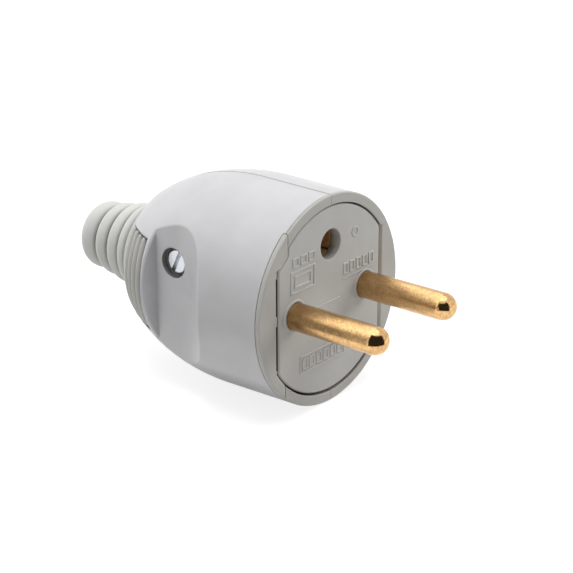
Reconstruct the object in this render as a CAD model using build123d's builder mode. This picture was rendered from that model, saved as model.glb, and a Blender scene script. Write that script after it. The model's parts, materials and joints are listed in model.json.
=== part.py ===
from build123d import *
import os
from math import asin, degrees, sqrt

# Two-pin mains plug with an earth hole, drawn in millimetres.
# The origin is the centre of the pin carrier's face. X runs out along the pins,
# Z runs up towards the earth hole, and the two covers part on the plane Y = 0.

# Pins and earth hole
pin_dia = 4.8
pin_seat_dia = 5.2
pin_seat_rise = 0.1
pin_length = 19.0
pin_spacing = 19.0
earth_rise = 10.0
earth_hole_dia = 5.5

# General fits between pieces
fit = 0.1
hole_fit = 0.08
thread_fit = 0.03

# How far a cut runs past the face that it opens
overrun = 1.0

# Body of revolution: a slight cone to the shoulder, then an elliptical dome
rim_radius = 18.75
body_swell = 0.2
shoulder_x = -15.0
dome_reach = 29.0

# White covers
cover_wall = 1.1
cover_front_x = -0.35
cover_edge_round = 0.3
seam_width = 0.4
bead_sink = 0.15

# Finger scoop on each side
scoop_floor_y = 13.7
scoop_floor_front_x = -22.5
scoop_floor_length = 4.8
scoop_ramp_length = 9.0
scoop_rear_lean = 0.35
scoop_edge_round = 0.4

# Ribbed grip pads behind the scoops
pad_gap = 1.4
pad_half_height = 8.5
pad_sink = 0.9
rib_count = 4
rib_pitch = 1.7
rib_radius = 0.62
rib_half_height = 7.6
rib_margin = 1.4
pad_tail_margin = 0.8

# Inner housing, in two halves
liner_wall = 1.5
rim_height = 0.1
rim_edge_bevel = 0.18
tail_sink = 0.3
tail_lip = 2.0
bulkhead_x = -35.4
bulkhead_wall = 1.3
cord_gap = 0.6
half_gap = 0.05

# Pin carrier
rim_width = 2.1
carrier_plate = 3.0
carrier_rise = 0.1
carrier_gap = 0.3
carrier_flat_gap = 0.15
carrier_edge_bevel = 0.25
neck_inset = 1.5
neck_length = 2.0
flange_inset = 0.9
flange_thickness = 1.5
well_wall = 0.7
carrier_wall = 1.3
neck_flat_inset = 0.3
well_end_x = -9.0

# Key that closes the left side of the rim, with nibs that bear on the carrier
key_top_inset = 2.35
key_low_inset = 1.6
key_front_drop = 0.55
key_depth = 2.6
key_corner_inset = 0.35
key_corner_drop = 1.0
key_corner_height = 1.8
key_gap = 0.15
key_flat_gap = 0.55
key_nibs = ((8.65, 1.8), (0.2, 1.7), (-8.9, 0.5))

# Bevel that leads the carrier into its opening
lead_in = 0.3
flat_lead_in = 0.6

# Pin shanks and terminals
shank_shoulder_x = -3.5
barrel_radius = 3.1
terminal_radius = 2.7
terminal_end_x = -15.5
wire_hole_dia = 2.8
wire_hole_depth = 4.5
retainer_thickness = 1.5
retainer_screw_length = 6.0
retainer_margin = 1.1

# Earth contact
contact_front_x = -2.2
contact_bore = 4.9
contact_wall = 0.6
contact_end_x = -16.5
contact_slit = 0.5
contact_slit_end_x = -12.5
spring_x = -11.6
spring_width = 1.2
spring_wall = 0.5
spring_gap = 2.4
earth_block_size = 7.4
earth_block_front_x = -15.0
earth_block_end_x = -20.2
earth_block_round = 1.0

# Terminal screws
screw_dia = 2.9
screw_head_dia = 4.6
screw_head_height = 1.4
screw_head_round = 0.3
screw_slot = 0.8
screw_slot_depth = 0.7
terminal_screw_inset = 2.2

# Screw that holds the halves together
cover_screw_lead = 3.9
cover_screw_z = 5.1
cover_screw_dia = 3.0
cover_head_dia = 4.3
cover_head_height = 1.5
cover_head_sink = 0.8
counterbore_dia = 5.45
cover_slot_angle = 64.0
boss_wall = 1.2
nut_flats = 5.5
nut_height = 2.4
nut_y = 7.8
screw_tail = 0.8

# Cord clamp
clamp_x = -31.0
clamp_width = 5.0
clamp_height = 16.8
clamp_thickness = 2.8
clamp_top_y = -3.2
clamp_screw_pitch = 12.4
clamp_screw_dia = 2.6
clamp_screw_reach = 6.0
clamp_post_dia = 5.6
clamp_post_y = 2.6
cord_dia = 8.0

# Cord boot
boot_bore = 8.6
boot_ring_gap = 1.2
boot_ring_count = 3
boot_ring_pitch = 3.6
boot_ring_radius = 8.25
boot_ring_taper = 0.7
boot_ring_depth = 1.5
boot_end_length = 4.3
boot_end_radius = 6.3
boot_end_face_radius = 5.0
boot_neck_radius = 6.6
boot_flange_radius = 9.0
boot_flange_thickness = 1.7

# Places that several pieces share
pin_y = pin_spacing / 2
body_radius = rim_radius + body_swell
carrier_radius = rim_radius - rim_width
carrier_flat = pin_y + barrel_radius + fit + well_wall + neck_flat_inset
neck_radius = carrier_radius - neck_inset
neck_flat = carrier_flat - neck_flat_inset
scoop_rear_x = scoop_floor_front_x - scoop_floor_length
scoop_mouth_x = scoop_floor_front_x + scoop_ramp_length
pad_front_x = scoop_rear_x - pad_gap
rib_first_x = pad_front_x - rib_margin
rib_last_x = rib_first_x - (rib_count - 1) * rib_pitch
cover_tail_x = rib_last_x - pad_tail_margin
window_length = pad_front_x - cover_tail_x + overrun
boot_flange_front_x = bulkhead_x - bulkhead_wall
boot_flange_rear_x = boot_flange_front_x - boot_flange_thickness
tail_end_x = boot_flange_rear_x - tail_lip
boot_ring_x = tail_end_x - boot_ring_gap
liner_skin = cover_wall + fit
room_inset = liner_skin + liner_wall
notch_x = cover_front_x - key_front_drop
flange_front_x = -carrier_plate - neck_length
flange_rear_x = flange_front_x - flange_thickness
key_top_y = carrier_flat - key_top_inset
key_low_y = carrier_flat - key_low_inset
key_corner_z = sqrt(carrier_radius ** 2 - key_top_y ** 2) - key_corner_drop
key_corner_y = carrier_flat - key_corner_inset
key_corner_low_z = key_corner_z - key_corner_height
key_reach = key_depth + rim_height + overrun
terminal_screw_x = terminal_end_x + terminal_screw_inset
contact_radius = contact_bore / 2 + contact_wall
cover_screw_x = scoop_rear_x + cover_screw_lead
head_seat_y = scoop_floor_y - cover_head_sink - cover_head_height
boss_radius = cover_screw_dia / 2 + fit + boss_wall
retainer_front_x = well_end_x - fit
retainer_rear_x = retainer_front_x - retainer_thickness


def dome_section(inset, tail, front):
    """Half outline of the body between two planes, its skin moved in by inset."""
    radius = body_radius - inset
    reach = dome_reach - inset
    with BuildSketch() as section:
        with BuildLine():
            EllipticalCenterArc((shoulder_x, 0), reach, radius, start_angle=90, arc_size=90)
            Polyline(
                (shoulder_x - reach, 0),
                (-shoulder_x, 0),
                (-shoulder_x, 2 * rim_radius - body_radius - inset),
                (shoulder_x, radius),
            )
        make_face()
        with Locations(((tail + front) / 2, 0)):
            Rectangle(front - tail, 4 * body_radius, mode=Mode.INTERSECT)
    return section.sketch


def dome_radius(x, inset=0.0):
    """Radius of the dome's skin at x, moved in by inset."""
    share = (shoulder_x - x) / (dome_reach - inset)
    return (body_radius - inset) * sqrt(1 - share ** 2)


def scoop_section(grow):
    """Outline of the left finger scoop seen from above, its walls moved inward by grow."""
    depth = rim_radius - scoop_floor_y
    mouth = scoop_mouth_x - scoop_floor_front_x
    radius = (mouth ** 2 + depth ** 2) / (2 * depth)
    centre_y = -scoop_floor_y - radius
    outside_y = -body_radius - overrun
    sweep = 90 - degrees(asin((outside_y - centre_y) / (radius + grow)))
    floor_y = -scoop_floor_y + grow
    rear_x = scoop_rear_x - grow
    lean = scoop_rear_lean * (floor_y - outside_y)
    with BuildSketch() as section:
        with BuildLine():
            centre = (scoop_floor_front_x, centre_y)
            ramp = CenterArc(centre, radius + grow, start_angle=90, arc_size=-sweep)
            Polyline(
                ramp @ 0,
                (rear_x, floor_y),
                (rear_x - lean, outside_y),
                ramp @ 1,
            )
        make_face()
    return section.sketch


def ring_section(front_x, rear_x, radius):
    """Half section of a plain disc on the X axis."""
    with BuildSketch() as section:
        with Locations(((front_x + rear_x) / 2, radius / 2)):
            Rectangle(front_x - rear_x, radius)
    return section.sketch


def flatted_disc(x, radius, half_width, rise=0.0):
    """Disc outline across the X axis at x, cut by one flat on each side."""
    with BuildSketch(Plane.YZ.offset(x)) as disc:
        with Locations((0, rise)):
            Circle(radius)
            Rectangle(2 * half_width, 2 * radius, mode=Mode.INTERSECT)
    return disc.sketch


def key_corner(x, gap):
    """Upper left corner that the key takes out of the carrier's outline."""
    with BuildSketch(Plane.YZ.offset(x)) as corner:
        with BuildLine():
            Polyline(
                (-key_top_y + gap, key_corner_z - gap),
                (-key_corner_y, key_corner_low_z - gap),
                (-body_radius, key_corner_low_z - gap),
                (-body_radius, body_radius),
                (-key_top_y + gap, body_radius),
                close=True,
            )
        make_face()
    return corner.sketch


def key_outline(x, gap):
    """Part of the left side, seen along the pins, that belongs to the key."""
    with BuildSketch(Plane.YZ.offset(x)) as outline:
        with BuildLine():
            Polyline(
                (-key_top_y + gap, 0),
                (-key_top_y + gap, 2 * body_radius),
                (-2 * body_radius, 2 * body_radius),
                (-2 * body_radius, -2 * body_radius),
                (-key_low_y + gap, -2 * body_radius),
                (-key_low_y + gap, 0),
                close=True,
            )
        make_face()
    return outline.sketch


def pin_body(y):
    """Solid pin with its collar and wire terminal, on an axis at y."""
    tip_radius = pin_dia / 2
    seat_radius = pin_seat_dia / 2
    with BuildPart() as body:
        with BuildSketch():
            with BuildLine():
                nose = CenterArc((pin_length - tip_radius, y), tip_radius, 0, 90)
                Polyline(
                    nose @ 1,
                    (pin_seat_rise, y + tip_radius),
                    (pin_seat_rise, y + seat_radius),
                    (shank_shoulder_x, y + seat_radius),
                    (shank_shoulder_x, y + barrel_radius),
                    (well_end_x, y + barrel_radius),
                    (well_end_x, y + terminal_radius),
                    (terminal_end_x, y + terminal_radius),
                    (terminal_end_x, y),
                    nose @ 0,
                )
            make_face()
        revolve(axis=Axis((0, y, 0), (1, 0, 0)))
        with BuildSketch(Plane.YZ.offset(terminal_end_x)):
            with Locations((y, 0)):
                Circle(wire_hole_dia / 2)
        extrude(amount=wire_hole_depth, mode=Mode.SUBTRACT)
        with BuildSketch(Plane.XY):
            with Locations((terminal_screw_x, y)):
                Circle(screw_dia / 2 + thread_fit)
        extrude(amount=-barrel_radius, mode=Mode.SUBTRACT)
    return body.part


def slotted_screw(plane, shank_dia, head_dia, head_height, length, slot_angle=0.0):
    """Screw whose head rests on the plane, on the side of its normal."""
    with BuildPart() as screw:
        with BuildSketch(plane):
            Circle(head_dia / 2)
        extrude(amount=head_height)
        fillet(edges().sort_by(Axis(plane.origin, plane.z_dir))[-1], screw_head_round)
        with BuildSketch(plane):
            Circle(shank_dia / 2)
        extrude(amount=-length)
        with BuildSketch(plane.offset(head_height)):
            Rectangle(2 * head_dia, screw_slot, rotation=slot_angle)
        extrude(amount=-screw_slot_depth, mode=Mode.SUBTRACT)
    return screw.part


# Space inside the covers, with the inner faces of both scoops left standing
with BuildPart() as cover_space:
    revolve(dome_section(cover_wall, tail_end_x, rim_height + overrun), axis=Axis.X)
    extrude(scoop_section(cover_wall), amount=body_radius, both=True, mode=Mode.SUBTRACT)
    mirror(about=Plane.XZ, mode=Mode.INTERSECT)

# What both finger scoops take out of the body
with BuildPart() as scoops:
    extrude(scoop_section(0), amount=body_radius, both=True)
    mirror(about=Plane.XZ)

# Both covers as one shell, before the parting cut
with BuildPart() as cover_shell:
    revolve(dome_section(0, cover_tail_x, cover_front_x), axis=Axis.X)
    fillet(edges().group_by(Axis.X)[-1], cover_edge_round)
    add(scoops.part, mode=Mode.SUBTRACT)
    straight_or_round = (GeomType.LINE, GeomType.CIRCLE)
    scoop_edges = [edge for edge in edges() if edge.geom_type not in straight_or_round]
    fillet(scoop_edges, scoop_edge_round)
    add(cover_space.part, mode=Mode.SUBTRACT)
    with BuildSketch(Plane.XZ):
        with Locations((pad_front_x - window_length / 2, 0)):
            Rectangle(window_length, 2 * pad_half_height)
    extrude(amount=body_radius, both=True, mode=Mode.SUBTRACT)

# Left cover, with the counterbore for the screw and the notch for the key
with BuildPart() as left_cover:
    add(cover_shell.part)
    split(bisect_by=Plane.XZ.offset(seam_width / 2), keep=Keep.TOP)
    with BuildSketch(Plane.XZ.offset(scoop_floor_y + overrun)):
        with Locations((cover_screw_x, cover_screw_z)):
            Circle(counterbore_dia / 2)
    extrude(amount=-2 * (cover_wall + overrun), mode=Mode.SUBTRACT)
    extrude(key_outline(notch_x, 0), amount=key_front_drop + overrun, mode=Mode.SUBTRACT)

# Right cover
with BuildPart() as right_cover:
    add(cover_shell.part)
    split(bisect_by=Plane.XZ.offset(-seam_width / 2), keep=Keep.BOTTOM)

# Grip pad skin and its ribs, each rib a rounded bar bent round the body
with BuildPart() as grip_pads:
    revolve(dome_section(pad_sink, cover_tail_x - fit, pad_front_x - fit), axis=Axis.X)
    with BuildSketch(Plane.XZ):
        with Locations((pad_front_x - window_length / 2, 0)):
            Rectangle(window_length, 2 * (pad_half_height - fit))
    extrude(amount=body_radius, both=True, mode=Mode.INTERSECT)
    for number in range(rib_count):
        rib_x = rib_first_x - number * rib_pitch
        rib_y = dome_radius(rib_x) - rib_radius
        half_angle = degrees(asin(rib_half_height / rib_y))
        with BuildSketch(Plane.XY.rotated((-half_angle, 0, 0))) as rib_end:
            with Locations((rib_x, rib_y)):
                Circle(rib_radius)
        revolve(rib_end.sketch, axis=Axis.X, revolution_arc=2 * half_angle)
        for rise in (-half_angle, half_angle):
            with Locations(Plane.XY.rotated((rise, 0, 0))):
                with Locations((rib_x, rib_y, 0)):
                    Sphere(rib_radius)
    mirror(about=Plane.XZ)

# Bead that shows between the covers on the parting line
with BuildPart() as seam_bead:
    revolve(dome_section(bead_sink, cover_tail_x - fit, cover_front_x + fit), axis=Axis.X)
    with BuildSketch(Plane.XZ):
        Rectangle(4 * body_radius, 4 * body_radius)
    extrude(amount=seam_width / 2 - thread_fit, both=True, mode=Mode.INTERSECT)

# Inner housing as one solid block, before it is hollowed and parted
with BuildPart() as housing_block:
    revolve(dome_section(liner_skin, cover_tail_x - fit, rim_height), axis=Axis.X)
    extrude(scoop_section(liner_skin), amount=body_radius, both=True, mode=Mode.SUBTRACT)
    mirror(about=Plane.XZ, mode=Mode.INTERSECT)
    revolve(ring_section(rim_height, cover_front_x + fit, rim_radius), axis=Axis.X)
    chamfer(edges().group_by(Axis.X)[-1], rim_edge_bevel)
    revolve(dome_section(tail_sink, tail_end_x, cover_tail_x - fit), axis=Axis.X)
    add(grip_pads.part)
    add(seam_bead.part)

# Room inside the housing
with BuildPart() as room:
    revolve(dome_section(room_inset, bulkhead_x, flange_front_x + fit), axis=Axis.X)
    extrude(scoop_section(room_inset), amount=body_radius, both=True, mode=Mode.SUBTRACT)
    mirror(about=Plane.XZ, mode=Mode.INTERSECT)

# Screw boss, clamp posts and cord saddle that stand inside the housing
with BuildPart() as fittings:
    with BuildSketch(Plane.XZ):
        with Locations((cover_screw_x, cover_screw_z)):
            Circle(boss_radius)
    extrude(amount=scoop_floor_y - liner_skin, both=True)
    with BuildSketch(Plane.XZ.offset(-nut_y + boss_wall)):
        with Locations((cover_screw_x, cover_screw_z)):
            Circle(nut_flats / sqrt(3) + boss_wall)
    extrude(amount=-(scoop_floor_y - liner_skin - nut_y + boss_wall))
    with BuildSketch(Plane.XZ.offset(-clamp_post_y)):
        with Locations((clamp_x, clamp_screw_pitch / 2), (clamp_x, -clamp_screw_pitch / 2)):
            Circle(clamp_post_dia / 2)
        with Locations((clamp_x, 0)):
            Rectangle(clamp_post_dia / 2, clamp_screw_pitch)
    extrude(amount=-body_radius)
    with BuildSketch(Plane.YZ.offset(clamp_x)):
        Circle(cord_dia / 2)
    extrude(amount=clamp_post_dia, both=True, mode=Mode.SUBTRACT)
    add(housing_block.part, mode=Mode.INTERSECT)

# Opening for the pin carrier and the stepped seat for the boot
with BuildPart() as seats:
    plate_seat = flatted_disc(
        -carrier_plate - fit, carrier_radius + carrier_gap, carrier_flat + carrier_flat_gap
    )
    extrude(plate_seat, amount=carrier_plate + fit + rim_height + overrun)
    neck_seat = flatted_disc(flange_front_x, neck_radius + fit, neck_flat + fit)
    extrude(neck_seat, amount=neck_length)
    with BuildSketch(Plane.YZ.offset(flange_front_x)):
        with Locations((0, earth_rise)):
            Circle(contact_radius + well_wall + 2 * fit)
    extrude(amount=neck_length)
    revolve(
        ring_section(bulkhead_x + overrun, boot_flange_front_x, cord_dia / 2 + cord_gap),
        axis=Axis.X,
    )
    revolve(
        ring_section(
            boot_flange_front_x + fit, boot_flange_rear_x - fit, boot_flange_radius + fit
        ),
        axis=Axis.X,
    )
    revolve(
        ring_section(boot_flange_rear_x, tail_end_x - overrun, boot_neck_radius + fit),
        axis=Axis.X,
    )

# Inner housing, hollowed, with its bosses
with BuildPart() as housing:
    add(housing_block.part)
    add(room.part, mode=Mode.SUBTRACT)
    add(fittings.part)
    add(seats.part, mode=Mode.SUBTRACT)
    with BuildSketch(Plane.XZ):
        with Locations((cover_screw_x, cover_screw_z)):
            Circle(cover_screw_dia / 2 + fit)
    extrude(amount=scoop_floor_y, both=True, mode=Mode.SUBTRACT)
    with BuildSketch(Plane.XZ.offset(-clamp_post_y)):
        with Locations((clamp_x, clamp_screw_pitch / 2), (clamp_x, -clamp_screw_pitch / 2)):
            Circle(clamp_screw_dia / 2 + thread_fit)
    extrude(amount=-clamp_screw_reach - fit, mode=Mode.SUBTRACT)

# Left liner, open at the rim where the key goes in
with BuildPart() as left_liner:
    add(housing.part)
    split(bisect_by=Plane.XZ.offset(half_gap), keep=Keep.TOP)
    extrude(key_outline(-key_depth - fit, 0), amount=key_reach, mode=Mode.SUBTRACT)
    with BuildSketch(Plane.XZ.offset(head_seat_y)):
        with Locations((cover_screw_x, cover_screw_z)):
            Circle(counterbore_dia / 2)
    extrude(amount=cover_wall + cover_head_height, mode=Mode.SUBTRACT)

# Right liner, with the pocket for the captive nut and a bevel along the opening's flat
with BuildPart() as right_liner:
    add(housing.part)
    split(bisect_by=Plane.XZ.offset(-half_gap), keep=Keep.BOTTOM)
    opening_y = carrier_flat + carrier_flat_gap
    with BuildSketch(Plane.XY):
        with BuildLine():
            Polyline(
                (rim_height - flat_lead_in, opening_y),
                (rim_height, opening_y + flat_lead_in),
                (rim_height, opening_y),
                close=True,
            )
        make_face()
    opening_radius = carrier_radius + carrier_gap
    extrude(amount=sqrt(opening_radius ** 2 - opening_y ** 2), both=True, mode=Mode.SUBTRACT)
    with BuildSketch(Plane.XZ.offset(-nut_y)):
        with Locations((cover_screw_x, cover_screw_z)):
            RegularPolygon(nut_flats / 2 + fit, 6, major_radius=False)
    extrude(amount=-body_radius, mode=Mode.SUBTRACT)

# Space that the pin carrier takes out of the key
with BuildPart() as key_seat:
    seat_radius = carrier_radius + key_gap
    seat_flat = carrier_flat + key_flat_gap
    extrude(flatted_disc(-key_depth, seat_radius, seat_flat), amount=key_reach)
    extrude(
        flatted_disc(rim_height - lead_in, seat_radius, seat_flat),
        amount=lead_in + overrun,
        taper=-45,
    )
    extrude(key_corner(-key_depth, 0), amount=key_reach, mode=Mode.SUBTRACT)

# Key let into the left side of the rim
with BuildPart() as rim_key:
    revolve(dome_section(liner_skin, -key_depth, rim_height), axis=Axis.X)
    revolve(ring_section(rim_height, notch_x + fit, rim_radius), axis=Axis.X)
    chamfer(edges().group_by(Axis.X)[-1], rim_edge_bevel)
    extrude(key_outline(-key_depth, -key_gap), amount=key_reach, mode=Mode.INTERSECT)
    add(key_seat.part, mode=Mode.SUBTRACT)
    for nib_z, nib_length in key_nibs:
        with BuildSketch(Plane.YZ.offset(-key_depth)):
            with Locations((-carrier_flat - (key_flat_gap + fit) / 2, nib_z)):
                Rectangle(key_flat_gap - fit + 2 * thread_fit, nib_length)
        extrude(amount=key_depth - lead_in)

# Pin carrier: face plate, neck and rear flange, hollow behind, with wells for the contacts
with BuildPart() as pin_carrier:
    plate = flatted_disc(-carrier_plate, carrier_radius, carrier_flat, carrier_rise)
    extrude(plate, amount=carrier_plate)
    extrude(key_corner(-carrier_plate, key_gap), amount=carrier_plate, mode=Mode.SUBTRACT)
    chamfer(faces().sort_by(Axis.X)[-1].edges(), carrier_edge_bevel)
    extrude(flatted_disc(flange_front_x, neck_radius, neck_flat), amount=neck_length)
    extrude(
        flatted_disc(flange_rear_x, carrier_radius - flange_inset, carrier_flat),
        amount=flange_thickness,
    )
    extrude(
        flatted_disc(flange_rear_x, neck_radius - carrier_wall, neck_flat - carrier_wall),
        amount=neck_length + flange_thickness,
        mode=Mode.SUBTRACT,
    )
    with BuildSketch(Plane.YZ.offset(well_end_x)):
        with Locations((-pin_y, 0), (pin_y, 0)):
            Circle(barrel_radius + fit + well_wall)
        with Locations((0, earth_rise)):
            Circle(contact_radius + fit + well_wall)
        Circle(screw_dia / 2 + carrier_wall)
    extrude(amount=-well_end_x - carrier_plate)
    with BuildSketch(Plane.YZ.offset(well_end_x)):
        with Locations((-pin_y, 0), (pin_y, 0)):
            Circle(barrel_radius + fit)
    extrude(amount=shank_shoulder_x - well_end_x + fit, mode=Mode.SUBTRACT)
    with BuildSketch(Plane.YZ.offset(well_end_x)):
        with Locations((-pin_y, 0), (pin_y, 0)):
            Circle(pin_seat_dia / 2 + hole_fit)
        with Locations((0, earth_rise)):
            Circle(earth_hole_dia / 2)
    extrude(amount=-well_end_x + overrun, mode=Mode.SUBTRACT)
    with BuildSketch(Plane.YZ.offset(well_end_x)):
        with Locations((0, earth_rise)):
            Circle(contact_radius + fit)
    extrude(amount=contact_front_x - well_end_x + fit, mode=Mode.SUBTRACT)
    with BuildSketch(Plane.YZ.offset(well_end_x)):
        Circle(screw_dia / 2 + thread_fit)
    extrude(amount=retainer_screw_length - retainer_thickness, mode=Mode.SUBTRACT)

# Plate that holds the pins in their wells
with BuildPart() as pin_retainer:
    with BuildSketch(Plane.YZ.offset(retainer_rear_x)):
        with Locations((-pin_y, 0), (pin_y, 0)):
            Circle(terminal_radius + retainer_margin)
        with Locations((0, earth_rise)):
            Circle(contact_radius + retainer_margin)
        make_hull()
        with Locations((-pin_y, 0), (pin_y, 0)):
            Circle(terminal_radius + fit, mode=Mode.SUBTRACT)
        with Locations((0, earth_rise)):
            Circle(contact_radius + fit, mode=Mode.SUBTRACT)
        Circle(screw_dia / 2 + fit, mode=Mode.SUBTRACT)
    extrude(amount=retainer_thickness)

with BuildPart() as retainer_screw:
    retainer_plane = Plane((retainer_rear_x, 0, 0), x_dir=(0, 1, 0), z_dir=(-1, 0, 0))
    add(
        slotted_screw(
            retainer_plane,
            screw_dia,
            screw_head_dia,
            screw_head_height,
            retainer_screw_length - 2 * fit,
        )
    )

# Current-carrying pins
with BuildPart() as line_pin:
    add(pin_body(-pin_y))

with BuildPart() as neutral_pin:
    add(pin_body(pin_y))

# Earth contact: a slit tube that grips the socket's earth pin
with BuildPart() as earth_contact:
    with BuildSketch(Plane.YZ.offset(contact_end_x)):
        with Locations((0, earth_rise)):
            Circle(contact_radius)
            Circle(contact_bore / 2, mode=Mode.SUBTRACT)
    extrude(amount=contact_front_x - contact_end_x)
    with BuildSketch(Plane.YZ.offset(contact_slit_end_x)):
        with Locations((0, earth_rise)):
            Rectangle(contact_slit, 4 * contact_radius, rotation=45)
            Rectangle(contact_slit, 4 * contact_radius, rotation=-45)
    extrude(amount=contact_front_x - contact_slit_end_x, mode=Mode.SUBTRACT)

# Open ring that keeps the contact's fingers closed
with BuildPart() as contact_spring:
    with BuildSketch(Plane.YZ.offset(spring_x - spring_width / 2)):
        with Locations((0, earth_rise)):
            Circle(contact_radius + thread_fit + spring_wall)
            Circle(contact_radius + thread_fit, mode=Mode.SUBTRACT)
        with Locations((0, earth_rise - contact_radius)):
            Rectangle(spring_gap, 2 * contact_radius, mode=Mode.SUBTRACT)
    extrude(amount=spring_width)

# Earth terminal pressed on the end of the contact
with BuildPart() as earth_terminal:
    with BuildSketch(Plane.YZ.offset(earth_block_end_x)):
        with Locations((0, earth_rise)):
            RectangleRounded(earth_block_size, earth_block_size, earth_block_round)
    extrude(amount=earth_block_front_x - earth_block_end_x)
    with BuildSketch(Plane.YZ.offset(contact_end_x)):
        with Locations((0, earth_rise)):
            Circle(contact_radius + thread_fit)
    extrude(amount=earth_block_front_x - contact_end_x, mode=Mode.SUBTRACT)
    with BuildSketch(Plane.YZ.offset(earth_block_end_x)):
        with Locations((0, earth_rise)):
            Circle(wire_hole_dia / 2)
    extrude(amount=contact_end_x - earth_block_end_x, mode=Mode.SUBTRACT)
    earth_screw_x = earth_block_end_x + terminal_screw_inset
    with BuildSketch(Plane.XZ):
        with Locations((earth_screw_x, earth_rise)):
            Circle(screw_dia / 2 + thread_fit)
    extrude(amount=earth_block_size, mode=Mode.SUBTRACT)

# Terminal screws, whose points stop halfway between a wire hole's wall and its middle
point_rise = wire_hole_dia / 4
terminal_grip = terminal_radius - point_rise
with BuildPart() as line_screw:
    line_plane = Plane((terminal_screw_x, -pin_y, -terminal_radius - fit), z_dir=(0, 0, -1))
    add(slotted_screw(line_plane, screw_dia, screw_head_dia, screw_head_height, terminal_grip))

with BuildPart() as neutral_screw:
    neutral_plane = Plane((terminal_screw_x, pin_y, -terminal_radius - fit), z_dir=(0, 0, -1))
    add(slotted_screw(neutral_plane, screw_dia, screw_head_dia, screw_head_height, terminal_grip))

earth_grip = earth_block_size / 2 - point_rise
with BuildPart() as earth_screw:
    earth_plane = Plane((earth_screw_x, -earth_block_size / 2 - fit, earth_rise), z_dir=(0, -1, 0))
    add(slotted_screw(earth_plane, screw_dia, screw_head_dia, screw_head_height, earth_grip))

# Screw and nut that hold the two halves together
with BuildPart() as cover_screw:
    seat_plane = Plane(
        (cover_screw_x, -head_seat_y, cover_screw_z), x_dir=(1, 0, 0), z_dir=(0, -1, 0)
    )
    add(
        slotted_screw(
            seat_plane,
            cover_screw_dia,
            cover_head_dia,
            cover_head_height,
            head_seat_y + nut_y + nut_height + screw_tail,
            cover_slot_angle,
        )
    )

with BuildPart() as cover_nut:
    with BuildSketch(Plane.XZ.offset(-nut_y - fit)):
        with Locations((cover_screw_x, cover_screw_z)):
            RegularPolygon(nut_flats / 2, 6, major_radius=False)
            Circle(cover_screw_dia / 2 + thread_fit, mode=Mode.SUBTRACT)
    extrude(amount=-nut_height)

# Cord clamp: a bar with a saddle, drawn down by two screws
with BuildPart() as cord_clamp:
    with BuildSketch(Plane.XZ.offset(-clamp_top_y)):
        with Locations((clamp_x, 0)):
            RectangleRounded(clamp_width, clamp_height, clamp_width / 2 - fit)
    extrude(amount=clamp_thickness)
    with BuildSketch(Plane.YZ.offset(clamp_x)):
        Circle(cord_dia / 2)
    extrude(amount=clamp_width, both=True, mode=Mode.SUBTRACT)
    with BuildSketch(Plane.XZ.offset(-clamp_top_y)):
        with Locations((clamp_x, clamp_screw_pitch / 2), (clamp_x, -clamp_screw_pitch / 2)):
            Circle(clamp_screw_dia / 2 + fit)
    extrude(amount=clamp_thickness, mode=Mode.SUBTRACT)

clamp_head_y = clamp_top_y - clamp_thickness
clamp_screw_length = clamp_post_y + clamp_screw_reach - clamp_head_y
with BuildPart() as upper_clamp_screw:
    upper_plane = Plane((clamp_x, clamp_head_y, clamp_screw_pitch / 2), z_dir=(0, -1, 0))
    add(
        slotted_screw(
            upper_plane, clamp_screw_dia, screw_head_dia, screw_head_height, clamp_screw_length
        )
    )

with BuildPart() as lower_clamp_screw:
    lower_plane = Plane((clamp_x, clamp_head_y, -clamp_screw_pitch / 2), z_dir=(0, -1, 0))
    add(
        slotted_screw(
            lower_plane, clamp_screw_dia, screw_head_dia, screw_head_height, clamp_screw_length
        )
    )

# Flexible boot: flange, neck, three rings and a rounded end, bored for the cord
with BuildPart() as cord_boot:
    with BuildSketch():
        with BuildLine():
            front_x = tail_end_x - fit
            start = Polyline(
                (boot_flange_front_x, boot_bore / 2),
                (boot_flange_front_x, boot_flange_radius),
                (boot_flange_rear_x, boot_flange_radius),
                (boot_flange_rear_x, boot_neck_radius),
                (front_x, boot_neck_radius),
                (front_x, boot_ring_radius - boot_ring_depth),
            )
            last = start @ 1
            for number in range(boot_ring_count):
                crest_x = boot_ring_x - number * boot_ring_pitch
                crest = boot_ring_radius - number * boot_ring_taper
                groove = crest - boot_ring_taper / 2 - boot_ring_depth
                ring = ThreePointArc(last, (crest_x, crest), (crest_x - boot_ring_pitch / 2, groove))
                last = ring @ 1
            end_x = last.X - boot_end_length
            end_crest = (last.X - boot_end_length / 2, boot_end_radius)
            end = ThreePointArc(last, end_crest, (end_x, boot_end_face_radius))
            Polyline(end @ 1, (end_x, boot_bore / 2), start @ 0)
        make_face()
    revolve(axis=Axis.X)

pieces = {
    "left_cover": left_cover,
    "right_cover": right_cover,
    "left_liner": left_liner,
    "right_liner": right_liner,
    "rim_key": rim_key,
    "pin_carrier": pin_carrier,
    "pin_retainer": pin_retainer,
    "retainer_screw": retainer_screw,
    "line_pin": line_pin,
    "neutral_pin": neutral_pin,
    "earth_contact": earth_contact,
    "contact_spring": contact_spring,
    "earth_terminal": earth_terminal,
    "line_screw": line_screw,
    "neutral_screw": neutral_screw,
    "earth_screw": earth_screw,
    "cover_screw": cover_screw,
    "cover_nut": cover_nut,
    "cord_clamp": cord_clamp,
    "upper_clamp_screw": upper_clamp_screw,
    "lower_clamp_screw": lower_clamp_screw,
    "cord_boot": cord_boot,
}

os.makedirs("parts", exist_ok=True)
for name, piece in pieces.items():
    piece.part.label = name
    export_step(piece.part, "parts/" + name + ".step")
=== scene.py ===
import json
import math

import bmesh
import bpy
from mathutils import Matrix, Vector


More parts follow.
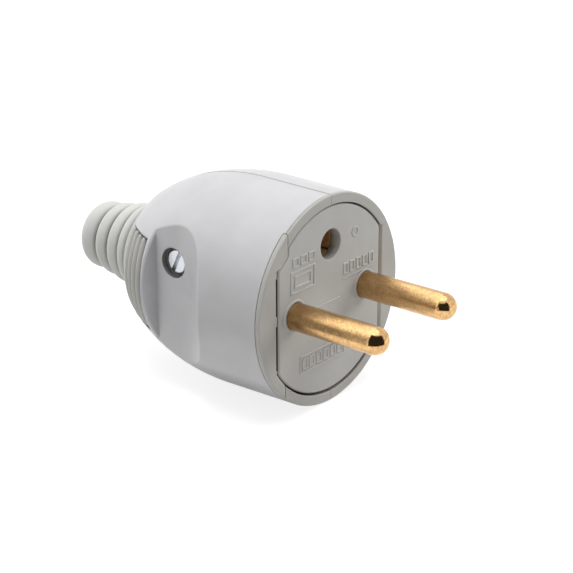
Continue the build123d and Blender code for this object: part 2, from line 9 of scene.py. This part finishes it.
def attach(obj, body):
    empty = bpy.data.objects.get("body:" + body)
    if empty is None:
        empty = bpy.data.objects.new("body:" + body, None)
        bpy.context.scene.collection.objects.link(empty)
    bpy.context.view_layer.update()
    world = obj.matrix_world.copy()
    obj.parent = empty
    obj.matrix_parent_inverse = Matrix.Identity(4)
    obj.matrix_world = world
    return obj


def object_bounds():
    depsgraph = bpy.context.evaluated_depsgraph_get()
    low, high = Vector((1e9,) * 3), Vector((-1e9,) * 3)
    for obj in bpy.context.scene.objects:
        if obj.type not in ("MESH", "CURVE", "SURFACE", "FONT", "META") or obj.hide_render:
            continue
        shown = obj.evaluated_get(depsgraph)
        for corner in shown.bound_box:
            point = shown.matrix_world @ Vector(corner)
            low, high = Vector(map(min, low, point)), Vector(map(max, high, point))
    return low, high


# Two-pin mains plug. Lengths are in metres unless a comment says otherwise, in the frame of the
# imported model: the origin is the centre of the face, X runs out along the pins, Z is up.

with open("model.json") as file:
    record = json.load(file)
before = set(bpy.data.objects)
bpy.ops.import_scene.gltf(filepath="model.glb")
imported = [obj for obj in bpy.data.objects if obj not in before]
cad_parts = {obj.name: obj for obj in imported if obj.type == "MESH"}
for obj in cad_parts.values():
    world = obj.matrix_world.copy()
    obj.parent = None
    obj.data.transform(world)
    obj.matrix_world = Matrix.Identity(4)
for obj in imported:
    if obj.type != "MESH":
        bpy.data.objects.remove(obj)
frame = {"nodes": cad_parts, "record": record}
packed_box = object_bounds()
nodes = frame["nodes"]

MM_PER_METRE = 1000

# Camera, fitted to the pins, rim and body in the photograph. Its azimuth is 0 at -Y and 90 at
# +X. The origin appears VIEW_RIGHT and VIEW_UP from the picture's centre.
VIEW_AZIMUTH = 39.6
VIEW_ELEVATION = 21.3
VIEW_ROLL = math.radians(-0.2)
VIEW_DISTANCE = 0.300
VIEW_RIGHT = 0.00745
VIEW_UP = -0.00222
FOCAL_PIXELS = 1766.0
IMAGE_PIXELS = 573.0
SENSOR_WIDTH = 36.0
CLIP_START = 0.01
CLIP_END = 50

# Colours, as linear values
COVER_WHITE = (0.80, 0.80, 0.815)
HOUSING_GREY = (0.655, 0.65, 0.61)
CARRIER_GREY = (0.70, 0.70, 0.675)
BOOT_GREY = (0.87, 0.87, 0.83)
BRASS = (0.88, 0.55, 0.25)
BRASS_TARNISH = (0.38, 0.22, 0.10)
ZINC = (0.76, 0.79, 0.83)
WHITE = (1, 1, 1)
BLACK = (0, 0, 0)

# A noise runs from 0 to 1, but keeps mostly to this range
NOISE_RANGE = (0.3, 0.7)

# Samples for each point, for grooves and for rounded edges
GROOVE_SAMPLES = 8
EDGE_SAMPLES = 6

# Mouldings: patches of colour, flow ripples and uneven gloss, with scales per millimetre.
# A painted edge highlight starts and is full at a cosine between the true normal and the
# rounded one.
PATCH_SCALE = 0.16
PATCH_RANGE = (0.35, 0.65)
PATCH_SHADES = (0.965, 1.02)
RIPPLE_SCALE = 0.35
GLOSS_SCALE = 0.9
GLOSS_DROP = 0.05
GLOSS_RISE = 0.07
EDGE_RADIUS = 0.00028
EDGE_COSINES = (0.99, 0.86)
# Painted edge highlight: EDGE_LIGHTNESS times the colour, mixed in at most EDGE_SHARE.
EDGE_LIGHTNESS = 1.45
EDGE_SHARE = 0.8
# groove_shade, groove_reach and openness set the painted shade in grooves, corners and recesses
PLASTICS = {
    "cover_plastic": {
        "name": "white_cover",
        "colour": COVER_WHITE,
        "roughness": 0.34,
        "grain_scale": 9.0,
        "grain_depth": 0.000006,
        "ripple_depth": 0.00003,
        "groove_shade": 0.28,
        "groove_reach": 0.009,
        "openness": (0.38, 0.86),
    },
    "housing_plastic": {
        "name": "housing",
        "colour": HOUSING_GREY,
        "roughness": 0.5,
        "grain_scale": 7.0,
        "grain_depth": 0.00001,
        "ripple_depth": 0.00003,
        "groove_shade": 0.7,
        "groove_reach": 0.002,
        "openness": (0.2, 0.7),
    },
    "carrier_plastic": {
        "name": "carrier",
        "colour": CARRIER_GREY,
        "roughness": 0.47,
        "grain_scale": 7.0,
        "grain_depth": 0.00001,
        "ripple_depth": 0.00003,
        "groove_shade": 0.16,
        "groove_reach": 0.005,
        "openness": (0.34, 0.66),
    },
    "boot_plastic": {
        "name": "boot",
        "colour": BOOT_GREY,
        "roughness": 0.55,
        "grain_scale": 6.0,
        "grain_depth": 0.000012,
        "ripple_depth": 0.00004,
        "groove_shade": 0.05,
        "groove_reach": 0.0035,
        "openness": (0.34, 0.9),
    },
}

# Brass: turning rings on the straight part of a pin, painted shade towards its foot, tarnish
# and specks, with scales per millimetre. DOME_START, DOME_BLEND and FOOT_REACH are in
# millimetres along the pin.
DOME_START = 16.6
DOME_BLEND = 0.4
FOOT_REACH = 7.0
TIP_ROUGHNESS = 0.13
RING_STRETCH = (14.0, 0.35, 0.35)
RING_SCALE = 1.0
RING_DEPTH = 0.000014
TARNISH_STRETCH = (0.6, 1.0, 1.0)
TARNISH_SCALE = 0.5
TARNISH_RANGE = (0.42, 0.75)
TARNISH_MOST = 0.6
SPECK_STRETCH = (2.2, 1.0, 1.0)
SPECK_SCALE = 2.4
SPECK_RANGE = (0.42, 0.66)
SPECK_SHADE = 0.62
SPECK_DEPTH = 0.000003

# Zinc plate: handling marks and fine grain, with scales per millimetre
HANDLING_SCALE = 1.3
HANDLING_SHADE = 0.82
ZINC_ROUGHNESS = (0.2, 0.4)
ZINC_GRAIN_SCALE = 6.0
ZINC_GRAIN_DEPTH = 0.000015

# Studio. The floor glows to the camera and in reflections, brighter far from the plug.
# AMBIENT is the world's light on the plug.
FLOOR_SIZE = 6.0
FLOOR_GREY = (0.5, 0.5, 0.5)
FLOOR_ROUGHNESS = 0.9
FLOOR_SPECULAR = 0.1
FLOOR_DISTANCES = (0.12, 0.6)
FLOOR_GLOWS = (0.80, 1.0)
AMBIENT = 0.05

# Lamps: place, width, power in watts
LAMP_AIM = (-0.02, 0, 0)
LAMPS = {
    "top": ((-0.02, 0.0, 0.8), 0.7, 3.9),
    "left": ((-0.02, -0.8, 0.12), 0.6, 1.48),
    "right": ((0.44, 0.68, 0.38), 0.6, 3.1),
    "front": ((0.8, 0.0, 0.2), 0.6, 0.35),
    "rear": ((-0.8, 0.0, 0.3), 0.6, 2.4),
}

# Cards that only reflections show: centre and distance, azimuths and elevations in degrees,
# and brightness
CARD_STEPS = 12
CARDS = {
    "card_front": ((0.0166, 0, 0), 0.046, (-12, 100), (-19, 50), 0.03),
    "card_left": ((0.008, -0.0095, 0), 0.046, (-60, -22), (-24, 24), 0.22),
    "card_top": ((0, 0, 0), 0.34, (-180, 180), (62, 90), 2.0),
    "card_side": ((0, 0, 0), 0.34, (-150, -16), (36, 62), 1.8),
}

# Blank relief on the face. FIELD_ROWS, FRAMES and LINES give the low and high Y and the low
# and high Z, and for a row the number of its fields. ROUND_MARK gives Y, Z and radius.
MARK_SINK = 0.00003
MARK_HEIGHT = 0.00014
MARK_DRAFT = 0.0001
MARK_STROKE = 0.00042
MARK_GAP = 0.0003
FIELD_ROWS = {
    "upper": ((-0.0102, -0.0042), (0.0085, 0.0103), 3),
    "right": ((0.0034, 0.0120), (0.0034, 0.0056), 5),
    "lower": ((-0.0077, 0.0034), (-0.0106, -0.0084), 6),
}
FRAMES = {
    "badge": ((-0.0107, -0.0042), (0.0039, 0.0080)),
    "badge_inner": ((-0.0097, -0.0052), (0.0048, 0.0071)),
    "lower_field": ((-0.0083, 0.0040), (-0.0112, -0.0078)),
}
LINES = {
    "middle_line": ((-0.0041, 0.0026), (-0.0004, -0.0001)),
    "right_line": ((0.0032, 0.0122), (0.0027, 0.0030)),
}
ROUND_MARK = (0.0067, 0.0105, 0.0010)

# Thin lip that closes the housing's parting line, in millimetres. The body's outline is the
# packed one. Each strip has its half width, its front and rear X, and how deep its outer and
# inner edges lie below the skin. BULKHEAD gives X and height above the middle.
BODY_RADIUS = 18.95
BODY_SWELL = 0.2
SHOULDER_X = -15.0
DOME_REACH = 29.0
SEAM_HALF = 0.04
SEAM_STEPS = 40
SEAM_STRIPS = {
    "tongue": (SEAM_HALF, (-0.05, -36.0), (0.22, 1.9)),
    "tail": (SEAM_HALF, (-36.0, -40.3), (0.4, 1.6)),
    "bead": (0.165, (-0.45, -35.95), (0.04, 0.16)),
}
BULKHEAD = ((-36.6, -35.5), (4.8, 10.6))

# Moulded lip round each pin's foot, by its Y
PIN_LIPS = {"line_pin_lip": -0.0095, "neutral_pin_lip": 0.0095}
PIN_RADIUS = 0.0024
SEAT_RADIUS = 0.0026
SEAT_RISE = 0.0001
LIP_GAP = 0.00002
LIP_WIDTH = 0.00032
LIP_HEIGHT = 0.00022
LIP_CORNER_WIDTH = LIP_WIDTH / 3
LIP_CORNER_HEIGHT = LIP_HEIGHT * 0.7
ROUND_STEPS = 96


class Graph:
    """Short way to build the nodes of a material or of the world."""

    def __init__(self, owner, shader="Principled BSDF"):
        owner.use_nodes = True
        self.owner = owner
        self.tree = owner.node_tree
        self.shader = self.tree.nodes[shader]

    def add(self, kind, **settings):
        node = self.tree.nodes.new(kind)
        for name, value in settings.items():
            setattr(node, name, value)
        return node

    def link(self, source, target):
        self.tree.links.new(source, target)

    def place(self, scale=(1, 1, 1)):
        """Object coordinates in millimetres, stretched by scale."""
        coordinates = self.add("ShaderNodeTexCoord")
        mapping = self.add("ShaderNodeMapping")
        set_input(mapping, "Scale", [MM_PER_METRE * s for s in scale])
        self.link(coordinates.outputs["Object"], mapping.inputs["Vector"])
        return mapping.outputs["Vector"]

    def along_x(self):
        """Distance along the pins, in millimetres."""
        split = self.add("ShaderNodeSeparateXYZ")
        self.link(self.place(), split.inputs[0])
        return split.outputs["X"]

    def maths(self, operation, first, second):
        """The result of operation, kept between 0 and 1."""
        node = self.add("ShaderNodeMath", operation=operation, use_clamp=True)
        self.link(first, node.inputs[0])
        self.link(second, node.inputs[1])
        return node.outputs[0]

    def noise(self, place, scale, detail, roughness=0.55, distortion=0.0):
        node = self.add("ShaderNodeTexNoise")
        set_input(node, "Scale", scale)
        set_input(node, "Detail", detail)
        set_input(node, "Roughness", roughness)
        set_input(node, "Distortion", distortion)
        self.link(place, node.inputs["Vector"])
        return node.outputs["Fac"]

    def remap(self, value, before, after=(0, 1)):
        """Value, moved from the range before to the range after and kept inside it."""
        node = self.add("ShaderNodeMapRange")
        set_input(node, "From Min", before[0])
        set_input(node, "From Max", before[1])
        set_input(node, "To Min", after[0])
        set_input(node, "To Max", after[1])
        self.link(value, node.inputs["Value"])
        return node.outputs["Result"]

    def mix(self, share, first, second):
        """First at share 0, second at share 1. Each is a colour or an output."""
        node = self.add("ShaderNodeMix", data_type="RGBA")
        self.link(share, node.inputs[0])
        for socket, value in ((node.inputs[6], first), (node.inputs[7], second)):
            if isinstance(value, tuple):
                socket.default_value = (*value, 1)
            else:
                self.link(value, socket)
        return node.outputs[2]

    def bump(self, height, distance, after=None):
        node = self.add("ShaderNodeBump")
        set_input(node, "Distance", distance)
        self.link(height, node.inputs["Height"])
        if after is not None:
            self.link(after, node.inputs["Normal"])
        return node.outputs["Normal"]

    def crevice(self, distance, openness):
        """1 on open surfaces, falling to 0 in corners and grooves: the mask of painted shade."""
        node = self.add("ShaderNodeAmbientOcclusion", samples=GROOVE_SAMPLES)
        set_input(node, "Distance", distance)
        return self.remap(node.outputs["AO"], openness)

    def rounded(self, radius):
        """Normal with rounded edges, and how much each point belongs to an edge."""
        bevel = self.add("ShaderNodeBevel", samples=EDGE_SAMPLES)
        set_input(bevel, "Radius", radius)
        geometry = self.add("ShaderNodeNewGeometry")
        likeness = self.add("ShaderNodeVectorMath", operation="DOT_PRODUCT")
        self.link(bevel.outputs["Normal"], likeness.inputs[0])
        self.link(geometry.outputs["Normal"], likeness.inputs[1])
        return bevel.outputs["Normal"], self.remap(likeness.outputs["Value"], EDGE_COSINES)

    def shown(self):
        """1 for camera, glossy and transmission rays, 0 for all others."""
        path = self.add("ShaderNodeLightPath")
        seen = path.outputs["Is Camera Ray"]
        for name in ("Is Glossy Ray", "Is Transmission Ray"):
            seen = self.maths("MAXIMUM", seen, path.outputs[name])
        return seen

    def to_shader(self, name, source):
        self.link(source, self.shader.inputs[name])

    def set_shader(self, name, value):
        """Set a socket of the shader to a number or a colour."""
        set_input(self.shader, name, (*value, 1) if isinstance(value, tuple) else value)


def set_input(node, name, value):
    node.inputs[name].default_value = value


def material_graph(name):
    return Graph(bpy.data.materials.new(name))


def shade(colour, factor):
    return tuple(min(1.0, c * factor) for c in colour)


def moulded_plastic(
    name,
    colour,
    roughness,
    grain_scale,
    grain_depth,
    ripple_depth,
    groove_shade,
    groove_reach,
    openness,
):
    """Moulded plastic: grain, faint flow ripples, uneven gloss, a painted highlight on edges and
    painted shade in grooves.

    groove_shade is the share of the colour left at a groove's bottom, groove_reach how far
    away its walls still count, and openness the range from its bottom to an open surface.
    """
    graph = material_graph(name)
    place = graph.place()
    patches = graph.remap(graph.noise(place, PATCH_SCALE, detail=4), PATCH_RANGE)
    clean = graph.mix(patches, *(shade(colour, factor) for factor in PATCH_SHADES))
    # Painted highlight: edges are lightened towards EDGE_LIGHTNESS times the colour.
    soft_normal, edge = graph.rounded(EDGE_RADIUS)
    edge_highlight_share = graph.remap(edge, (0, 1), (0, EDGE_SHARE))
    edge_highlighted = graph.mix(edge_highlight_share, clean, shade(colour, EDGE_LIGHTNESS))
    # Painted shade: the colour darkens towards groove_shade in corners, grooves and recesses.
    unshaded = graph.crevice(groove_reach, openness)
    graph.to_shader("Base Color", graph.mix(unshaded, shade(colour, groove_shade), edge_highlighted))
    gloss = graph.noise(place, GLOSS_SCALE, detail=5, roughness=0.6)
    gloss_range = (roughness - GLOSS_DROP, roughness + GLOSS_RISE)
    graph.to_shader("Roughness", graph.remap(gloss, NOISE_RANGE, gloss_range))
    flow = graph.noise(place, RIPPLE_SCALE, detail=2)
    ripples = graph.bump(flow, ripple_depth, after=soft_normal)
    grain = graph.noise(place, grain_scale, detail=3, roughness=0.6)
    graph.to_shader("Normal", graph.bump(grain, grain_depth, after=ripples))
    return graph.owner


def turned_brass(name, foot_shade, roughness, metallic):
    """Turned brass bar: fine rings round it up to the smooth tip, painted shade near its foot.
    """
    graph = material_graph(name)
    along = graph.along_x()
    straight = graph.remap(along, (DOME_START - DOME_BLEND, DOME_START + DOME_BLEND), (1, 0))
    # Painted shade: darker towards the foot, where the pin reflects the face.
    foot = graph.remap(along, (0, FOOT_REACH), (foot_shade, 0))
    cloud_place = graph.place(TARNISH_STRETCH)
    cloud = graph.noise(cloud_place, TARNISH_SCALE, detail=5, roughness=0.7, distortion=0.4)
    tarnish_and_foot_shade = graph.maths("ADD", graph.remap(cloud, TARNISH_RANGE, (0, TARNISH_MOST)), foot)
    specks = graph.noise(graph.place(SPECK_STRETCH), SPECK_SCALE, detail=4, roughness=0.7)
    speckled = graph.mix(graph.remap(specks, SPECK_RANGE), BRASS, shade(BRASS, SPECK_SHADE))
    graph.to_shader("Base Color", graph.mix(tarnish_and_foot_shade, speckled, BRASS_TARNISH))
    graph.to_shader("Roughness", graph.remap(straight, (0, 1), (TIP_ROUGHNESS, roughness)))
    graph.set_shader("Metallic", metallic)
    rings = graph.noise(graph.place(RING_STRETCH), RING_SCALE, detail=3, roughness=0.65)
    turned = graph.maths("MULTIPLY", rings, straight)
    worn = graph.bump(specks, SPECK_DEPTH)
    graph.to_shader("Normal", graph.bump(turned, RING_DEPTH, after=worn))
    return graph.owner


def zinc_plate(name):
    """Bright zinc-plated steel with faint handling marks."""
    graph = material_graph(name)
    place = graph.place()
    cloud = graph.noise(place, HANDLING_SCALE, detail=5, roughness=0.65)
    marks = graph.remap(cloud, NOISE_RANGE)
    graph.to_shader("Base Color", graph.mix(marks, shade(ZINC, HANDLING_SHADE), ZINC))
    graph.to_shader("Roughness", graph.remap(cloud, NOISE_RANGE, ZINC_ROUGHNESS))
    graph.set_shader("Metallic", 1.0)
    grain = graph.noise(place, ZINC_GRAIN_SCALE, detail=4)
    graph.to_shader("Normal", graph.bump(grain, ZINC_GRAIN_DEPTH))
    return graph.owner


# Materials for the record's slots
MATERIALS = {slot: moulded_plastic(**values) for slot, values in PLASTICS.items()}
# The pins get painted shade towards their foot; the contact gets none.
MATERIALS["pin_brass"] = turned_brass("pin_brass", foot_shade=0.55, roughness=0.27, metallic=1.0)
MATERIALS["contact_brass"] = turned_brass(
    "contact_brass", foot_shade=0.0, roughness=0.42, metallic=0.3
)
MATERIALS["screw_steel"] = zinc_plate("zinc")

for part in frame["record"]["subparts"]:
    packed = nodes[part["node"]]
    packed.data.materials.clear()
    packed.data.materials.append(MATERIALS[part["material_slot"]])


def add_object(name, data):
    """An object with this data, in the scene."""
    added = bpy.data.objects.new(name, data)
    bpy.context.scene.collection.objects.link(added)
    return added


def add_mesh(name, form, material):
    """An object made of a finished bmesh."""
    mesh = bpy.data.meshes.new(name)
    form.to_mesh(mesh)
    form.free()
    mesh.materials.append(material)
    return add_object(name, mesh)


def finish_piece(name, form, slot):
    """Turn a bmesh into a piece that rides on the plug's one body."""
    bmesh.ops.recalc_face_normals(form, faces=form.faces)
    piece = add_mesh(name, form, MATERIALS[slot])
    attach(piece, "root")


def join_loops(form, loops, ring):
    """Faces between neighbouring loops: a closed ring of them, or a block with two caps."""
    rows = [[form.verts.new(corner) for corner in loop] for loop in loops]
    count = len(rows[0])
    pairs = list(zip(rows, rows[1:]))
    if ring:
        pairs.append((rows[-1], rows[0]))
    else:
        form.faces.new(rows[0])
        form.faces.new(rows[-1])
    for low, high in pairs:
        for i in range(count):
            form.faces.new((low[i], low[(i + 1) % count], high[(i + 1) % count], high[i]))


def rectangle(ys, zs, inset, x):
    low_y, high_y = ys[0] + inset, ys[1] - inset
    low_z, high_z = zs[0] + inset, zs[1] - inset
    return [(x, low_y, low_z), (x, high_y, low_z), (x, high_y, high_z), (x, low_y, high_z)]


def circle(y, z, radius, x):
    turns = [2 * math.pi * i / ROUND_STEPS for i in range(ROUND_STEPS)]
    return [(x, y + radius * math.cos(turn), z + radius * math.sin(turn)) for turn in turns]


def raised_line(form, ys, zs):
    """Solid bar with drafted sides."""
    loops = [rectangle(ys, zs, 0, -MARK_SINK), rectangle(ys, zs, MARK_DRAFT, MARK_HEIGHT)]
    join_loops(form, loops, ring=False)


def raised_outline(form, loop_at):
    """Line of MARK_STROKE with drafted sides, inside the shape loop_at(inset, x) gives."""
    loops = [
        loop_at(0, -MARK_SINK),
        loop_at(MARK_DRAFT, MARK_HEIGHT),
        loop_at(MARK_STROKE - MARK_DRAFT, MARK_HEIGHT),
        loop_at(MARK_STROKE, -MARK_SINK),
    ]
    join_loops(form, loops, ring=True)


def raised_frame(form, ys, zs):
    raised_outline(form, lambda inset, x: rectangle(ys, zs, inset, x))


def build_face_marks():
    """Blank frames, rows of empty fields, lines and a ring moulded on the face."""
    form = bmesh.new()
    for ys, zs in FRAMES.values():
        raised_frame(form, ys, zs)
    for ys, zs in LINES.values():
        raised_line(form, ys, zs)
    for ys, zs, count in FIELD_ROWS.values():
        pitch = (ys[1] - ys[0] + MARK_GAP) / count
        for i in range(count):
            low = ys[0] + i * pitch
            raised_frame(form, (low, low + pitch - MARK_GAP), zs)
    y, z, radius = ROUND_MARK
    raised_outline(form, lambda inset, x: circle(y, z, radius - inset, x))
    finish_piece("face_marks", form, "carrier_plastic")


def body_outline(x):
    """Radius of the body at x, in millimetres: a slight swell, then a dome."""
    if x > SHOULDER_X:
        return BODY_RADIUS - BODY_SWELL * (1 - x / SHOULDER_X)
    share = (SHOULDER_X - x) / DOME_REACH
    return BODY_RADIUS * math.sqrt(1 - share ** 2)


def seam_loop(half, x, low, high):
    """Cross-section of the lip at x, from millimetres to metres."""
    corners = ((-half, low), (half, low), (half, high), (-half, high))
    return [(x / MM_PER_METRE, y / MM_PER_METRE, z / MM_PER_METRE) for y, z in corners]


def seam_strip(form, side, half, ends, depths):
    """Strip of the lip that follows the skin, above (side 1) or below (side -1)."""
    front, rear = ends
    outer, inner = depths
    loops = []
    for i in range(SEAM_STEPS + 1):
        x = front + (rear - front) * i / SEAM_STEPS
        radius = body_outline(x)
        loops.append(seam_loop(half, x, side * (radius - inner), side * (radius - outer)))
    join_loops(form, loops, ring=False)


def build_seam_lip():
    """Lip on the parting plane, above and below, along the skin and across the bulkhead."""
    form = bmesh.new()
    bulkhead_xs, (bulkhead_low, bulkhead_high) = BULKHEAD
    for side in (1, -1):
        for half, ends, depths in SEAM_STRIPS.values():
            seam_strip(form, side, half, ends, depths)
        low, high = side * bulkhead_low, side * bulkhead_high
        join_loops(form, [seam_loop(SEAM_HALF, x, low, high) for x in bulkhead_xs], ring=False)
    finish_piece("seam_lip", form, "housing_plastic")


def build_pin_lip(name, y):
    """Ring of plastic that closes round the pin, over the shoulder it is seated on."""
    inner = PIN_RADIUS + LIP_GAP
    step = SEAT_RADIUS + LIP_GAP
    outer = SEAT_RADIUS + LIP_WIDTH
    section = [
        (inner, SEAT_RISE + LIP_GAP),
        (inner, LIP_HEIGHT),
        (step, LIP_HEIGHT),
        (outer - LIP_CORNER_WIDTH, LIP_CORNER_HEIGHT),
        (outer, 0),
        (outer, -MARK_SINK),
        (step, -MARK_SINK),
        (step, SEAT_RISE + LIP_GAP),
    ]
    form = bmesh.new()
    join_loops(form, [circle(y, 0, radius, x) for radius, x in section], ring=True)
    finish_piece(name, form, "carrier_plastic")


def direction_to(azimuth, elevation):
    """Unit vector to an azimuth and elevation in degrees. Azimuth 0 is -Y, 90 is +X."""
    azimuth, elevation = math.radians(azimuth), math.radians(elevation)
    level = math.cos(elevation)
    return Vector((math.sin(azimuth) * level, -math.cos(azimuth) * level, math.sin(elevation)))


def build_camera():
    back = direction_to(VIEW_AZIMUTH, VIEW_ELEVATION)
    level = direction_to(VIEW_AZIMUTH + 90, 0)
    above = back.cross(level)
    right = level * math.cos(VIEW_ROLL) + above * math.sin(VIEW_ROLL)
    up = above * math.cos(VIEW_ROLL) - level * math.sin(VIEW_ROLL)
    place = back * VIEW_DISTANCE - right * VIEW_RIGHT - up * VIEW_UP
    data = bpy.data.cameras.new("camera")
    data.sensor_width = SENSOR_WIDTH
    data.lens = FOCAL_PIXELS * SENSOR_WIDTH / IMAGE_PIXELS
    data.clip_start = CLIP_START
    data.clip_end = CLIP_END
    camera = add_object("camera", data)
    turn = Matrix((right, up, back)).transposed().to_4x4()
    camera.matrix_world = Matrix.Translation(place) @ turn
    bpy.context.scene.camera = camera


def build_world():
    """White where it is seen or reflected, and a faint even light on the object."""
    world = bpy.data.worlds.new("studio")
    bpy.context.scene.world = world
    graph = Graph(world, "Background")
    graph.set_shader("Color", WHITE)
    graph.to_shader("Strength", graph.remap(graph.shown(), (0, 1), (AMBIENT, 1)))


def build_floor():
    """Pale floor that keeps the plug's shadow and turns white far from it."""
    low = packed_box[0][2]
    bpy.ops.mesh.primitive_plane_add(size=FLOOR_SIZE, location=(0, 0, low))
    floor = bpy.context.object
    floor.name = "floor"
    graph = material_graph("floor")
    graph.set_shader("Base Color", FLOOR_GREY)
    graph.set_shader("Roughness", FLOOR_ROUGHNESS)
    graph.set_shader("Specular IOR Level", FLOOR_SPECULAR)
    graph.set_shader("Emission Color", WHITE)
    coordinates = graph.add("ShaderNodeTexCoord")
    distance = graph.add("ShaderNodeVectorMath", operation="LENGTH")
    graph.link(coordinates.outputs["Object"], distance.inputs[0])
    glow = graph.remap(distance.outputs["Value"], FLOOR_DISTANCES, FLOOR_GLOWS)
    graph.to_shader("Emission Strength", graph.maths("MULTIPLY", graph.shown(), glow))
    floor.data.materials.append(graph.owner)


def spread(ends):
    """Evenly spaced values from the first end to the second, for a card's rows or columns."""
    return [ends[0] + (ends[1] - ends[0]) * i / CARD_STEPS for i in range(CARD_STEPS + 1)]


def build_card(name, centre, distance, azimuths, elevations, brightness):
    """Curved card of a photographer's set, seen only in what reflects it."""
    form = bmesh.new()
    rows = [
        [
            form.verts.new(Vector(centre) + direction_to(azimuth, elevation) * distance)
            for azimuth in spread(azimuths)
        ]
        for elevation in spread(elevations)
    ]
    for low, high in zip(rows, rows[1:]):
        for j in range(CARD_STEPS):
            form.faces.new((low[j], low[j + 1], high[j + 1], high[j]))
    graph = material_graph(name)
    graph.set_shader("Base Color", BLACK)
    graph.set_shader("Specular IOR Level", 0.0)
    graph.set_shader("Emission Color", WHITE)
    graph.set_shader("Emission Strength", brightness)
    card = add_mesh(name, form, graph.owner)
    card.visible_camera = False
    card.visible_diffuse = False
    card.visible_transmission = False
    card.visible_volume_scatter = False
    card.visible_shadow = False


def build_lamp(name, place, size, power):
    """Round soft lamp that reflections don't show."""
    data = bpy.data.lights.new(name, "AREA")
    data.shape = "DISK"
    data.size = size
    data.energy = power
    lamp = add_object(name, data)
    lamp.visible_glossy = False
    lamp.location = place
    aim = Vector(LAMP_AIM) - Vector(place)
    lamp.rotation_euler = aim.to_track_quat("-Z", "Y").to_euler()


build_face_marks()
build_seam_lip()
for name, y in PIN_LIPS.items():
    build_pin_lip(name, y)
build_camera()
build_world()
build_floor()
for name, card in CARDS.items():
    build_card(name, *card)
for name, lamp in LAMPS.items():
    build_lamp(name, *lamp)

bpy.context.scene.view_settings.view_transform = "Standard"
